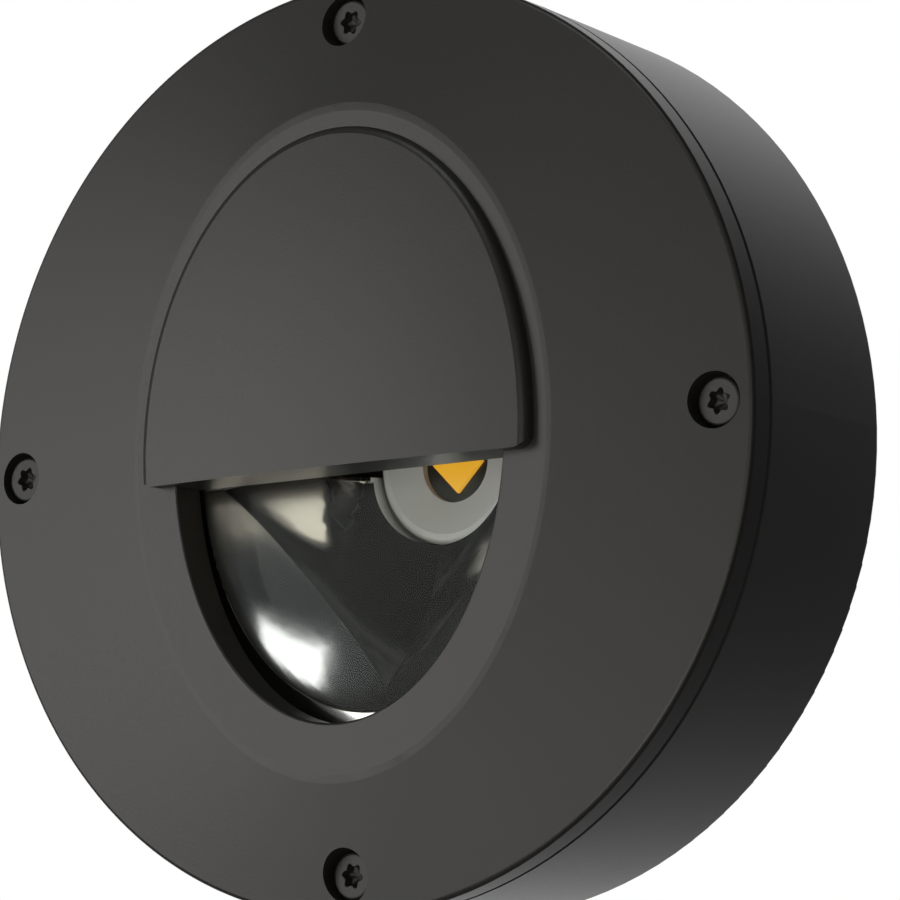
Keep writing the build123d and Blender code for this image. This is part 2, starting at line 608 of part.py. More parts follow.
# White ring that holds the LED board down
with BuildPart() as led_holder:
    with BuildSketch(PROFILE):
        with BuildLine():
            Polyline(
                (0, PEDESTAL_HEIGHT),
                (HOLDER_RADIUS, PEDESTAL_HEIGHT),
                (HOLDER_RADIUS, HOLDER_TOP),
                (HOLDER_RADIUS - HOLDER_RIM_WIDTH, HOLDER_TOP),
                (HOLDER_BORE / 2, HOLDER_TOP - HOLDER_DISH_DEPTH),
                (0, HOLDER_TOP - HOLDER_DISH_DEPTH),
                close=True,
            )
        make_face()
    revolve(axis=Axis.Y)
    holder_rim = led_holder.edges().filter_by(GeomType.CIRCLE).group_by(Axis.Y)[0]
    fillet(holder_rim.sort_by(SortBy.RADIUS)[-1], radius=HOLDER_RIM_ROUND)
    with BuildSketch(level(PEDESTAL_HEIGHT)):
        with Locations(HOLDER_EARS):
            Circle(HOLDER_EAR / 2)
    extrude(amount=HOLDER_EAR_THICKNESS)
    with BuildSketch(level(PEDESTAL_HEIGHT)):
        with Locations(HOLDER_EARS):
            Circle(SMALL_HOLE)
    extrude(amount=HOLDER_EAR_THICKNESS, mode=Mode.SUBTRACT)
    with BuildSketch(level(EAR_TOP_OF_HOLDER)):
        with Locations(HOLDER_EARS):
            Circle(SMALL_HEAD / 2 + SMALL_CLEARANCE)
    extrude(amount=HOLDER_HEIGHT, mode=Mode.SUBTRACT)
    with BuildSketch(level(PEDESTAL_HEIGHT)):
        Circle(BOARD_DIAMETER / 2 + BOARD_CLEARANCE)
    extrude(amount=PAD_THICKNESS + BOARD_THICKNESS, mode=Mode.SUBTRACT)
    with BuildSketch(level(PEDESTAL_HEIGHT)):
        Circle(HOLDER_BORE / 2)
    extrude(amount=HOLDER_HEIGHT, mode=Mode.SUBTRACT)

# Pad, board and emitter
with BuildPart() as thermal_pad:
    with BuildSketch(level(PEDESTAL_HEIGHT)):
        Circle(BOARD_DIAMETER / 2)
    extrude(amount=PAD_THICKNESS)

with BuildPart() as led_board:
    with BuildSketch(level(BOARD_BASE)):
        Circle(BOARD_DIAMETER / 2)
    extrude(amount=BOARD_THICKNESS)

with BuildPart() as led_chip:
    with BuildSketch(level(BOARD_TOP)):
        Rectangle(CHIP_SIZE, CHIP_SIZE, rotation=CHIP_TURN)
    extrude(amount=CHIP_THICKNESS)

# Driver case with an ear at each end
with BuildPart() as driver_case:
    with BuildSketch(level(FLOOR_THICKNESS)):
        with Locations((0, DRIVER_CENTRE)):
            RectangleRounded(DRIVER_WIDTH, DRIVER_LENGTH, DRIVER_CORNER)
    extrude(amount=DRIVER_HEIGHT)
    fillet(driver_case.edges().group_by(Axis.Y)[0], radius=DRIVER_EDGE_ROUND)
    with BuildSketch(level(GEAR_SEAT)):
        for side in (-1, 1):
            with Locations((side * (DRIVER_WIDTH / 2 + DRIVER_EAR_REACH / 2), DRIVER_EAR_Z)):
                Rectangle(DRIVER_EAR_REACH, DRIVER_EAR)
        with Locations(DRIVER_EARS):
            Circle(DRIVER_EAR / 2)
            Circle(SMALL_HOLE, mode=Mode.SUBTRACT)
    extrude(amount=DRIVER_EAR_THICKNESS)

# Stepped three-pole supply block
with BuildPart() as terminal_block:
    with BuildSketch(level(GEAR_SEAT)):
        with Locations((BLOCK_X, BLOCK_Z)):
            Rectangle(BLOCK_WIDTH, BLOCK_LENGTH)
    extrude(amount=BLOCK_HEIGHT)
    with BuildSketch(level(GEAR_SEAT + BLOCK_STEP_HEIGHT)):
        with Locations((BLOCK_STEP_X, BLOCK_Z)):
            Rectangle(BLOCK_STEP, BLOCK_LENGTH)
    extrude(amount=BLOCK_HEIGHT, mode=Mode.SUBTRACT)
    fillet(terminal_block.edges().filter_by(Axis.Z), radius=BLOCK_EDGE_ROUND)
    with BuildSketch(level(POLE_SCREW_BASE)):
        with Locations(POLES):
            Circle(POLE_WELL / 2)
    extrude(amount=POLE_WELL_DEPTH, mode=Mode.SUBTRACT)
    with BuildSketch(Plane.YZ.offset(BLOCK_X + BLOCK_WIDTH / 2)):
        with Locations([(-GEAR_SEAT - POLE_INLET_RISE, pole[1]) for pole in POLES]):
            Circle(POLE_INLET / 2)
    extrude(amount=-POLE_INLET_DEPTH, mode=Mode.SUBTRACT)
    with BuildSketch(level(BLOCK_FIXING_TOP)):
        with Locations(BLOCK_FIXINGS):
            Circle(SMALL_HEAD / 2 + SMALL_CLEARANCE)
    extrude(amount=BLOCK_HEIGHT, mode=Mode.SUBTRACT)
    with BuildSketch(level(GEAR_SEAT)):
        with Locations(BLOCK_FIXINGS):
            Circle(SMALL_HOLE)
    extrude(amount=BLOCK_FIXING_FLOOR, mode=Mode.SUBTRACT)

# Clamp screws of the supply block
with BuildPart() as terminal_screws:
    with BuildSketch(level(POLE_SCREW_BASE)):
        with Locations(POLES):
            Circle(POLE_SCREW / 2)
    extrude(amount=POLE_SCREW_HEIGHT)
    with BuildSketch(level(POLE_SCREW_BASE + POLE_SCREW_HEIGHT)):
        with Locations(POLES):
            Rectangle(SMALL_SLOT_WIDTH, POLE_SCREW)
    extrude(amount=-SMALL_SLOT_DEPTH, mode=Mode.SUBTRACT)

# Earth washer on its boss
with BuildPart() as earth_washer:
    with BuildSketch(level(EARTH_SEAT)):
        with Locations((EARTH_X, EARTH_Z)):
            Circle(EARTH_WASHER / 2)
            Circle(SMALL_HOLE, mode=Mode.SUBTRACT)
    extrude(amount=EARTH_WASHER_THICKNESS)

# Rubber cable inlet, pushed into the back wall
with BuildPart() as cable_grommet:
    with BuildSketch(level(GROMMET_SET_BACK)):
        with Locations((INLET_X, INLET_Z)):
            Circle(INLET_HOLE / 2 - GROMMET_CLEARANCE)
    extrude(amount=FLOOR_THICKNESS - GROMMET_SET_BACK)
    with BuildSketch(level(FLOOR_THICKNESS)):
        with Locations((INLET_X, INLET_Z)):
            Circle(GROMMET_FLANGE / 2)
    extrude(amount=GROMMET_FLANGE_THICKNESS)
    with BuildSketch(level(FLOOR_THICKNESS + GROMMET_FLANGE_THICKNESS)):
        with Locations((INLET_X, INLET_Z)):
            Circle(GROMMET_NOSE / 2)
    extrude(amount=GROMMET_NOSE_HEIGHT, taper=GROMMET_NOSE_TAPER)
    with BuildSketch(level(0)):
        with Locations((INLET_X, INLET_Z)):
            Circle(INLET_BORE / 2)
    extrude(amount=HOUSING_MOUTH, mode=Mode.SUBTRACT)

# Foam ring between the housing and the wall
with BuildPart() as wall_gasket:
    with BuildSketch(level(0)):
        Circle(WALL_SEAL_RADIUS + WALL_SEAL_WIDTH / 2)
        Circle(WALL_SEAL_RADIUS - WALL_SEAL_WIDTH / 2, mode=Mode.SUBTRACT)
    extrude(amount=WALL_SEAL_DEPTH)

# Leads from the driver down to the LED holder, one each side of the middle
LEAD_HIGH = HOLDER_TOP - LEAD_DIAMETER + LED_LEAD_DROP
LEAD_LOW = HOLDER_TOP - LEAD_DIAMETER
LEAD_END = math.sqrt(HOLDER_RADIUS**2 - (LEAD_PITCH / 2 - LEAD_DIAMETER / 2) ** 2) + LEAD_GAP
LEAD_ROUTE = [
    (DRIVER_LOWER, LEAD_HIGH),
    (DRIVER_LOWER - LED_LEAD_RUN, LEAD_HIGH),
    (LEAD_END + LED_LEAD_RUN, LEAD_LOW),
    (LEAD_END, LEAD_LOW),
]
LEAD_SLOPE = math.atan2(LED_LEAD_DROP, LEAD_ROUTE[1][0] - LEAD_ROUTE[2][0])
LEAD_BEND = LEAD_BEND_SHARE * LED_LEAD_RUN / math.tan(LEAD_SLOPE / 2)

with BuildPart() as led_leads:
    for side in (-1, 1):
        with BuildLine():
            FilletPolyline(
                [(side * LEAD_PITCH / 2, -height, along) for along, height in LEAD_ROUTE], radius=LEAD_BEND
            )
        with BuildSketch(Plane(origin=(side * LEAD_PITCH / 2, -LEAD_HIGH, DRIVER_LOWER), z_dir=(0, 0, -1))):
            Circle(LEAD_DIAMETER / 2)
        sweep()

# Leads from the two poles beside the driver straight across into it
SUPPLY_START = BLOCK_X + BLOCK_WIDTH / 2
SUPPLY_POLES = [pole for pole in POLES if pole[1] > DRIVER_LOWER + LEAD_DIAMETER]

with BuildPart() as supply_leads:
    with BuildSketch(Plane.YZ.offset(SUPPLY_START - POLE_INLET_DEPTH)):
        with Locations([(-GEAR_SEAT - POLE_INLET_RISE, pole[1]) for pole in SUPPLY_POLES]):
            Circle(LEAD_DIAMETER / 2)
    extrude(amount=POLE_INLET_DEPTH - DRIVER_WIDTH / 2 - SUPPLY_START)

# Small fasteners inside
with BuildPart() as retainer_screws:
    slotted_screws(RETAINER_PLACES, RETAINER_BACK, toward=-1)

with BuildPart() as reflector_screws:
    slotted_screws(EARS, EAR_TOP)

with BuildPart() as holder_screws:
    slotted_screws(HOLDER_EARS, EAR_TOP_OF_HOLDER)

with BuildPart() as driver_screws:
    slotted_screws(DRIVER_EARS, DRIVER_EAR_TOP)

with BuildPart() as block_screws:
    slotted_screws(BLOCK_FIXINGS, BLOCK_FIXING_TOP)

with BuildPart() as earth_screw:
    slotted_screws([(EARTH_X, EARTH_Z)], EARTH_WASHER_TOP)

PIECES = {
    "wall_housing": wall_housing,
    "front_cover": front_cover,
    "cover_gasket": cover_gasket,
    "cover_screws": cover_screws,
    "screw_seals": screw_seals,
    "front_glass": front_glass,
    "glass_gasket": glass_gasket,
    "glass_retainer": glass_retainer,
    "retainer_screws": retainer_screws,
    "reflector": reflector,
    "reflector_screws": reflector_screws,
    "led_holder": led_holder,
    "holder_screws": holder_screws,
    "thermal_pad": thermal_pad,
    "led_board": led_board,
    "led_chip": led_chip,
    "driver_case": driver_case,
    "driver_screws": driver_screws,
    "terminal_block": terminal_block,
    "terminal_screws": terminal_screws,
    "block_screws": block_screws,
    "earth_washer": earth_washer,
    "earth_screw": earth_screw,
    "cable_grommet": cable_grommet,
    "wall_gasket": wall_gasket,
    "led_leads": led_leads,
    "supply_leads": supply_leads,
}

for name, piece in PIECES.items():
    piece.part.label = name
    export_step(piece.part, f"parts/{name}.step")
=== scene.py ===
"""Looks of a round hooded wall light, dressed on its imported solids.

Lengths are in metres, in the frame of the solids: +Z up, +Y into the wall, the light faces -Y.
"""
import math

import bmesh
import bpy
from bpy.props import FloatProperty, FloatVectorProperty, IntProperty, PointerProperty
from mathutils import Matrix, Vector


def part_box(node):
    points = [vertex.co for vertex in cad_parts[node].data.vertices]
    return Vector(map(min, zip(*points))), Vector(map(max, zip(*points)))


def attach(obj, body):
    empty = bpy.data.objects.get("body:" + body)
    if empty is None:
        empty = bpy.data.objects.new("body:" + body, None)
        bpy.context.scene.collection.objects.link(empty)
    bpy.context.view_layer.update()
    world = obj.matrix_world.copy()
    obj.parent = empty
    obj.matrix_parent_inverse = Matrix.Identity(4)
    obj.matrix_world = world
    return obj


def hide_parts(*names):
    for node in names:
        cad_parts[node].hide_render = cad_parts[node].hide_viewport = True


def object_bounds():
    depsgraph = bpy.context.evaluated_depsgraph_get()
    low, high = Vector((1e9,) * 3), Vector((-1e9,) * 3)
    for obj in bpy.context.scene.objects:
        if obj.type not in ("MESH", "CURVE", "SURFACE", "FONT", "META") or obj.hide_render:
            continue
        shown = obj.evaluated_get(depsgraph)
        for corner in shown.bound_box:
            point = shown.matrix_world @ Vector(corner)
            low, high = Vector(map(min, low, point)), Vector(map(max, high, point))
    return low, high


bl_info = {
    "name": "Hooded Wall Light",
    "version": (1, 0, 0),
    "blender": (4, 5, 0),
    "location": "View3D > Sidebar > Wall Light",
    "description": "Finishes, screws and studio of a round hooded wall light",
    "category": "Object",
}

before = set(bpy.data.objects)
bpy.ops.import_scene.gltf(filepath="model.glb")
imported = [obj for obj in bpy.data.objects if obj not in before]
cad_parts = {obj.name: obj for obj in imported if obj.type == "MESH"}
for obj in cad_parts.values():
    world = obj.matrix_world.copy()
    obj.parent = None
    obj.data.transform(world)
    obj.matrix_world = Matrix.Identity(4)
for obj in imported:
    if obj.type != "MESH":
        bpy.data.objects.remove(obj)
CAD_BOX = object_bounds()
MM = 0.001

# Soft patches of the studio: azimuth, elevation, inner and outer angle in degrees, and the panels' colours
PANELS = (
    (5, -36, 18, 38, (2.6, 2.56, 2.48)),
    (26, -6, 16, 28, (0.76, 0.70, 0.59)),
    (-43, 3, 7, 25, (2.6, 2.56, 2.48)),
)
BACKDROP = (-146, 8, 25, 60)
SKY = (0.032, 0.034, 0.037)
WHITE = (1.0, 1.0, 1.0)
BLACK = (0.0, 0.0, 0.0)
FLOOR_REACH = 3.0
FLOOR_DROP = 1.8
FLOOR_SHADES = (0.8, 0.8, 0.79), (0.84, 0.84, 0.83)

# The bowl of the reflector, measured from its front edge: where its wall bends and where the LED sits
CREASE_DEPTH = 9.6 * MM
SEAT_DEPTH = 20.6 * MM
BOWL_POWER = 1.6
FLATTEST_SLOPE = 0.05
NORMAL_STEP = 0.02 * MM
# The ledge under the upper lip: its outer end, its height, its slopes, and where it fades out
LEDGE_END = 27 * MM
LEDGE_LEVEL = -8 * MM
LEDGE_RISE = 0.55
LEDGE_TILT = 0.1
LEDGE_SHARE = 0.92
LEDGE_SIDE = 14.5 * MM, 18.5 * MM
LEDGE_FOOT = -22 * MM, -15 * MM
LEDGE_SOFTNESS = 1.2 * MM

SCREW_SEED = 4
LOBE_COUNT = 6


def colour(name, text, default):
    """A colour property."""
    return FloatVectorProperty(name=name, description=text, subtype="COLOR", size=3, min=0, max=1, default=default)


def length(name, text, default):
    """A length property, in metres."""
    return FloatProperty(name=name, description=text, unit="LENGTH", precision=5, default=default)


def factor(name, text, default):
    """A share property, from 0 to 1."""
    return FloatProperty(name=name, description=text, subtype="FACTOR", min=0, max=1, default=default)


def angle(name, text, degrees):
    """An angle property; its default is given in degrees."""
    return FloatProperty(name=name, description=text, subtype="ANGLE", default=math.radians(degrees))


class CoatSettings(bpy.types.PropertyGroup):
    """The powder coat of the castings."""

    shade: colour("Shade", "Colour of the coat", (0.028, 0.0275, 0.026))
    fleck: colour("Fleck", "Paler colour of the coat's high grains", (0.036, 0.0352, 0.0335))
    grain: length("Grain", "Width of one grain of the coat", 0.42 * MM)
    relief: length("Relief", "Height of the grains", 0.016 * MM)
    roughness: factor("Roughness", "Mean roughness of the coat", 0.35)


class BrightSettings(bpy.types.PropertyGroup):
    """The reflector, the emitter and the ring round it."""

    metal: colour("Metal", "Colour of the bright metal film", (0.86, 0.85, 0.83))
    roughness: factor("Roughness", "Blur of the film", 0.16)
    bowl_across: length("Bowl across", "Half width of the reflector's mouth", 34.8 * MM)
    bowl_along: length("Bowl along", "Half height of the reflector's mouth", 42.6 * MM)
    bowl_depth: length("Bowl depth", "Depth of the reflector's bowl without its lobes", 14.0 * MM)
    gentle: factor("Gentle", "Share of the bowl's depth that stays", 0.88)
    ledge: length("Ledge", "Depth of the ledge under the upper lip, at its outer end", 6.0 * MM)
    # The emitter's colour, also used for its painted glow.
    phosphor: colour("Phosphor", "Colour of the emitter", (0.80, 0.40, 0.025))
    ring: colour("Ring", "Colour of the ring's moulding", (0.88, 0.88, 0.87))
    board: colour("Board", "Colour of the board's mask", (0.035, 0.034, 0.03))


class ScrewSettings(bpy.types.PropertyGroup):
    """The cover's screws."""

    count: IntProperty(name="Count", description="Screws round the cover", default=4)
    head: length("Head", "Diameter of a head", 7.5 * MM)
    head_height: length("Head height", "Height of a head", 2.4 * MM)
    head_round: length("Head rounding", "Rounding of a head's edge", 0.5 * MM)
    shank: length("Shank", "Diameter over the thread", 3.9 * MM)
    pitch: length("Pitch", "Rise of one turn of the thread", 0.7 * MM)
    recess: length("Recess", "Width over the recess's lobes", 3.95 * MM)
    recess_depth: length("Recess depth", "Depth of the recess", 1.7 * MM)
    steel: colour("Steel", "Colour of the blackened steel", (0.04, 0.04, 0.039))


class CameraSettings(bpy.types.PropertyGroup):
    """The view that the light is shown from."""

    place: FloatVectorProperty(
        name="Place", description="Where the camera stands", subtype="TRANSLATION", default=(0.3803, -0.5427, -0.0950)
    )
    azimuth: angle("Azimuth", "Turn to the right of the front", 35.59)
    elevation: angle("Elevation", "Height above level", -8.44)
    roll: angle("Roll", "Tilt of the picture", -0.32)
    focal: FloatProperty(name="Focal length", description="Focal length, millimetres", unit="CAMERA", default=160.92)
    sensor: FloatProperty(name="Sensor", description="Sensor width, millimetres", unit="CAMERA", default=36.0)


class WallLightSettings(bpy.types.PropertyGroup):
    """All settings of the wall light."""

    coat: PointerProperty(type=CoatSettings)
    bright: PointerProperty(type=BrightSettings)
    screws: PointerProperty(type=ScrewSettings)
    camera: PointerProperty(type=CameraSettings)


class Wire:
    """A shader socket that takes part in Python arithmetic: each operator adds its Math node."""

    def __init__(self, finish, socket):
        self.finish = finish
        self.socket = socket

    def math(self, operation, first, second):
        """One Math node on two values or wires."""
        return self.finish.node("ShaderNodeMath", {"operation": operation}, {0: first, 1: second})

    def __add__(self, other):
        return self.math("ADD", self, other)

    def __radd__(self, other):
        return self.math("ADD", other, self)

    def __sub__(self, other):
        return self.math("SUBTRACT", self, other)

    def __rsub__(self, other):
        return self.math("SUBTRACT", other, self)

    def __mul__(self, other):
        return self.math("MULTIPLY", self, other)

    def __rmul__(self, other):
        return self.math("MULTIPLY", other, self)


class Finish:
    """A material, or the world, as a graph of nodes."""

    def __init__(self, owner):
        owner.use_nodes = True
        self.owner = owner
        self.tree = owner.node_tree
        self.tree.nodes.clear()

    def node(self, kind, settings=None, sockets=None, out=0):
        """Adds a node, sets it up, fills its sockets with values or wires, and gives one of its outputs."""
        made = self.tree.nodes.new(kind)
        for key, value in (settings or {}).items():
            setattr(made, key, value)
        for key, value in (sockets or {}).items():
            if isinstance(value, Wire):
                self.tree.links.new(value.socket, made.inputs[key])
            else:
                made.inputs[key].default_value = value
        return Wire(self, made.outputs[out]) if made.outputs else None

    def noise(self, size, detail=2.0, roughness=0.5):
        """Noise on Object coordinates, whose features are about as wide as a size."""
        place = self.node("ShaderNodeTexCoord", out="Object")
        sockets = {"Vector": place, "Scale": 1 / size, "Detail": detail, "Roughness": roughness}
        return self.node("ShaderNodeTexNoise", None, sockets)

    def rays(self, *kinds):
        """Whether a ray comes from the camera, off a gloss or through glass, one wire for each kind."""
        return [self.node("ShaderNodeLightPath", out=f"Is {kind} Ray") for kind in kinds]

    def mix(self, share, first, second):
        """A colour between two others."""
        sockets = {"Factor": share, 6: full(first), 7: full(second)}
        return self.node("ShaderNodeMix", {"data_type": "RGBA"}, sockets, out=2)

    def bump(self, height, relief):
        """A normal that follows a height field."""
        return self.node("ShaderNodeBump", None, {"Height": height, "Distance": relief, "Strength": 1.0})

    def surface(self, **sockets):
        """A Principled surface as the result."""
        named = {key.replace("_", " "): value for key, value in sockets.items()}
        self.result(self.node("ShaderNodeBsdfPrincipled", None, named))

    def result(self, shader):
        """Makes a shader the result."""
        kind = "ShaderNodeOutputWorld" if isinstance(self.owner, bpy.types.World) else "ShaderNodeOutputMaterial"
        self.node(kind, None, {"Surface": shader})


def full(shade):
    """A colour as a socket takes it."""
    return shade if isinstance(shade, Wire) else (*shade, 1.0)


def scaled(share, shade):
    """A colour made darker or paler."""
    return [share * part for part in shade]


def new_finish(name):
    """An empty material."""
    return Finish(bpy.data.materials.new(name))


def dress(finish, *nodes):
    """Gives solids a material."""
    for name in nodes:
        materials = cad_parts[name].data.materials
        materials.clear()
        materials.append(finish.owner)


def powder_coat(settings):
    """Fine-grained dark powder coat."""
    coat = new_finish("powder_coat")
    grain = coat.noise(settings.grain, 3.0, 0.6)
    cloud = coat.noise(40 * settings.grain, 2.0)
    share = grain * 0.7 + cloud * 0.3
    coat.surface(
        Base_Color=coat.mix(share, settings.shade, settings.fleck),
        Roughness=settings.roughness - 0.06 + grain * 0.12,
        Normal=coat.bump(grain, settings.relief),
    )
    return coat


def black_steel(settings):
    """Blackened steel."""
    steel = new_finish("black_steel")
    wear = steel.noise(0.5 * MM, 3.0)
    steel.surface(
        Base_Color=steel.mix(wear, settings.steel, scaled(1.3, settings.steel)),
        Metallic=0.5,
        Roughness=0.36 + wear * 0.14,
        Normal=steel.bump(wear, 0.008 * MM),
    )
    return steel


def silicone(name, shade):
    """Matt rubber."""
    rubber = new_finish(name)
    pores = rubber.noise(0.3 * MM, 2.0)
    rubber.surface(
        Base_Color=rubber.mix(pores, shade, scaled(1.4, shade)),
        Roughness=0.7 + pores * 0.2,
        Normal=rubber.bump(pores, 0.02 * MM),
    )
    return rubber


def clear_pane():
    """Clear glass: it lets light straight through and mirrors a little."""
    pane = new_finish("clear_pane")
    smear = pane.noise(12 * MM, 2.0)
    gloss = pane.node(
        "ShaderNodeBsdfPrincipled",
        None,
        {"Base Color": (0.9, 0.95, 0.93, 1), "Metallic": 1.0, "Roughness": 0.02 + smear * 0.02},
    )
    clear = pane.node("ShaderNodeBsdfTransparent", None, {"Color": (0.985, 0.995, 0.99, 1)})
    share = pane.node("ShaderNodeFresnel", None, {"IOR": 1.45}) * 0.08
    pane.result(pane.node("ShaderNodeMixShader", None, {0: share, 1: clear, 2: gloss}))
    return pane


def plated_steel(name, shade):
    """Zinc-plated or plain turned metal."""
    plate = new_finish(name)
    spangle = plate.noise(1.2 * MM, 3.0)
    plate.surface(
        Base_Color=plate.mix(spangle, scaled(0.85, shade), shade),
        Metallic=1.0,
        Roughness=0.28 + spangle * 0.18,
        Normal=plate.bump(spangle, 0.01 * MM),
    )
    return plate


def metal_film(settings):
    """Mirror-bright film of the reflector."""
    film = new_finish("metal_film")
    haze = film.noise(6 * MM, 3.0)
    film.surface(
        Base_Color=film.mix(haze, scaled(0.97, settings.metal), settings.metal),
        Metallic=1.0,
        Roughness=settings.roughness - 0.015 + haze * 0.03,
    )
    return film


def moulding(name, shade, roughness):
    """Moulded plastic with a faint texture."""
    plastic = new_finish(name)
    flow = plastic.noise(0.6 * MM, 2.0)
    plastic.surface(
        Base_Color=plastic.mix(flow, scaled(0.94, shade), shade),
        Roughness=roughness - 0.05 + flow * 0.1,
        Normal=plastic.bump(flow, 0.008 * MM),
    )
    return plastic


def phosphor(settings):
    """Yellow emitter, unlit, with a painted glow: its own colour is also set to emit light."""
    glow = new_finish("phosphor")
    speck = glow.noise(0.25 * MM, 2.0)
    yellow_and_painted_glow = glow.mix(speck, scaled(0.9, settings.phosphor), settings.phosphor)
    # Painted glow: the emitter's yellow also emits light, though the LED is switched off.
    glow.surface(Base_Color=yellow_and_painted_glow, Roughness=0.35 + speck * 0.1, Emission_Color=yellow_and_painted_glow, Emission_Strength=0.7)
    return glow


def lofted(name, rings):
    """A closed mesh through rings of points, with a cap at each end."""
    shape = bmesh.new()
    rows = [[shape.verts.new(point) for point in ring] for ring in rings]
    count = len(rows[0])
    for lower, upper in zip(rows, rows[1:]):
        for step in range(count):
            after = (step + 1) % count
            shape.faces.new((lower[step], lower[after], upper[after], upper[step]))
    shape.faces.new(reversed(rows[0]))
    shape.faces.new(rows[-1])
    bmesh.ops.recalc_face_normals(shape, faces=shape.faces)
    mesh = bpy.data.meshes.new(name)
    shape.to_mesh(mesh)
    shape.free()
    mesh.shade_smooth()
    return mesh


def add_piece(name, mesh):
    """A mesh as an object of the scene."""
    piece = bpy.data.objects.new(name, mesh)
    bpy.context.scene.collection.objects.link(piece)
    return piece


def screw_mesh(settings, tip, head_base):
    """One screw on the Y axis: threaded shank, flat-topped head and six-lobe recess."""
    steps, thread_rows, bends = 72, 8, 8
    point, chamfer = 0.4 * MM, 0.1 * MM
    turns = [2 * math.pi * step / steps for step in range(steps)]
    thread_depth = 0.55 * settings.pitch
    crest = settings.shank / 2
    head = settings.head / 2
    top = head_base - settings.head_height
    bottom = top + settings.recess_depth

    def ring(y, radius):
        return [(radius(turn) * math.cos(turn), y, radius(turn) * math.sin(turn)) for turn in turns]

    def thread(y):
        def radius(turn):
            phase = ((y / settings.pitch) + turn / (2 * math.pi)) % 1.0
            return crest - thread_depth * abs(2 * phase - 1)
        return radius

    def lobes(scale):
        return lambda turn: settings.recess / 2 * scale * (0.86 + 0.14 * math.cos(LOBE_COUNT * turn))

    rings = [ring(tip, lambda turn: 0.6 * crest)]
    rows = thread_rows * round((tip - head_base) / settings.pitch)
    for row in range(rows + 1):
        y = tip - point + (head_base - tip + point) * row / rows
        rings.append(ring(y, thread(y)))
    rings.append(ring(head_base, lambda turn: head - chamfer))
    rings.append(ring(head_base - chamfer, lambda turn: head))
    for row in range(bends + 1):
        bend = math.pi / 2 * row / bends
        edge = head - settings.head_round * (1 - math.cos(bend))
        rings.append(ring(top + settings.head_round * (1 - math.sin(bend)), lambda turn, edge=edge: edge))
    for flat in (0.05, 0.35):
        rings.append(ring(top, lambda turn, flat=flat: head - settings.head_round - flat * MM))
    for y, scale in (
        (top, 1.1),
        (top, 1.06),
        (top + chamfer, 1.0),
        (top + 2 * chamfer, 0.99),
        (bottom, 0.94),
        (bottom + chamfer / 2, 0.9),
        (bottom + 4 * chamfer, 0.1),
    ):
        rings.append(ring(y, lobes(scale)))
    return lofted("screw_blank", rings)


def screw_tree():
    """Nodes that set screws round a circle, each turned by chance."""
    tree = bpy.data.node_groups.new("screws_round_cover", "GeometryNodeTree")
    face = tree.interface
    for name, kind in (
        ("Count", "NodeSocketInt"),
        ("Ring radius", "NodeSocketFloat"),
        ("Screw", "NodeSocketObject"),
        ("Material", "NodeSocketMaterial"),
        ("Seed", "NodeSocketInt"),
    ):
        face.new_socket(name, in_out="INPUT", socket_type=kind)
    face.new_socket("Geometry", in_out="OUTPUT", socket_type="NodeSocketGeometry")
    made = {}
    for key, kind in (
        ("given", "NodeGroupInput"),
        ("circle", "GeometryNodeMeshCircle"),
        ("upright", "GeometryNodeTransform"),
        ("chance", "FunctionNodeRandomValue"),
        ("turn", "ShaderNodeCombineXYZ"),
        ("screw", "GeometryNodeObjectInfo"),
        ("set_out", "GeometryNodeInstanceOnPoints"),
        ("real", "GeometryNodeRealizeInstances"),
        ("finish", "GeometryNodeSetMaterial"),
        ("result", "NodeGroupOutput"),
    ):
        made[key] = tree.nodes.new(kind)
    made["upright"].inputs["Rotation"].default_value = (math.pi / 2, 0, 0)
    made["chance"].data_type = "FLOAT"
    chance = [socket for socket in made["chance"].inputs if socket.enabled]
    chance[0].default_value = 0.0
    chance[1].default_value = 2 * math.pi / LOBE_COUNT
    drawn = next(socket for socket in made["chance"].outputs if socket.enabled)
    for start, end in (
        (made["given"].outputs["Count"], made["circle"].inputs["Vertices"]),
        (made["given"].outputs["Ring radius"], made["circle"].inputs["Radius"]),
        (made["circle"].outputs["Mesh"], made["upright"].inputs["Geometry"]),
        (made["given"].outputs["Seed"], made["chance"].inputs["Seed"]),
        (drawn, made["turn"].inputs["Y"]),
        (made["given"].outputs["Screw"], made["screw"].inputs["Object"]),
        (made["upright"].outputs["Geometry"], made["set_out"].inputs["Points"]),
        (made["screw"].outputs["Geometry"], made["set_out"].inputs["Instance"]),
        (made["turn"].outputs["Vector"], made["set_out"].inputs["Rotation"]),
        (made["set_out"].outputs["Instances"], made["real"].inputs["Geometry"]),
        (made["real"].outputs["Geometry"], made["finish"].inputs["Geometry"]),
        (made["given"].outputs["Material"], made["finish"].inputs["Material"]),
        (made["finish"].outputs["Geometry"], made["result"].inputs["Geometry"]),
    ):
        tree.links.new(start, end)
    return tree


def grown(name, tree, values):
    """Runs a node tree once and keeps its result as a plain mesh."""
    piece = add_piece(name, bpy.data.meshes.new(name))
    modifier = piece.modifiers.new("grow", "NODES")
    modifier.node_group = tree
    for item in tree.interface.items_tree:
        if item.name in values and item.in_out == "INPUT":
            modifier[item.identifier] = values[item.name]
    graph = bpy.context.evaluated_depsgraph_get()
    mesh = bpy.data.meshes.new_from_object(piece.evaluated_get(graph))
    mesh.name = name
    piece.modifiers.remove(modifier)
    piece.data = mesh
    return piece


def heading(azimuth, elevation):
    """Unit vector from the light towards an azimuth to the right of its front and an elevation, in degrees."""
    turn, rise = math.radians(azimuth), math.radians(elevation)
    return Vector((math.sin(turn) * math.cos(rise), -math.cos(turn) * math.cos(rise), math.sin(rise)))


def smooth(low, high, value):
    """Smooth step from 0 to 1 between two limits."""
    share = min(max((value - low) / (high - low), 0.0), 1.0)
    return share * share * (3 - 2 * share)


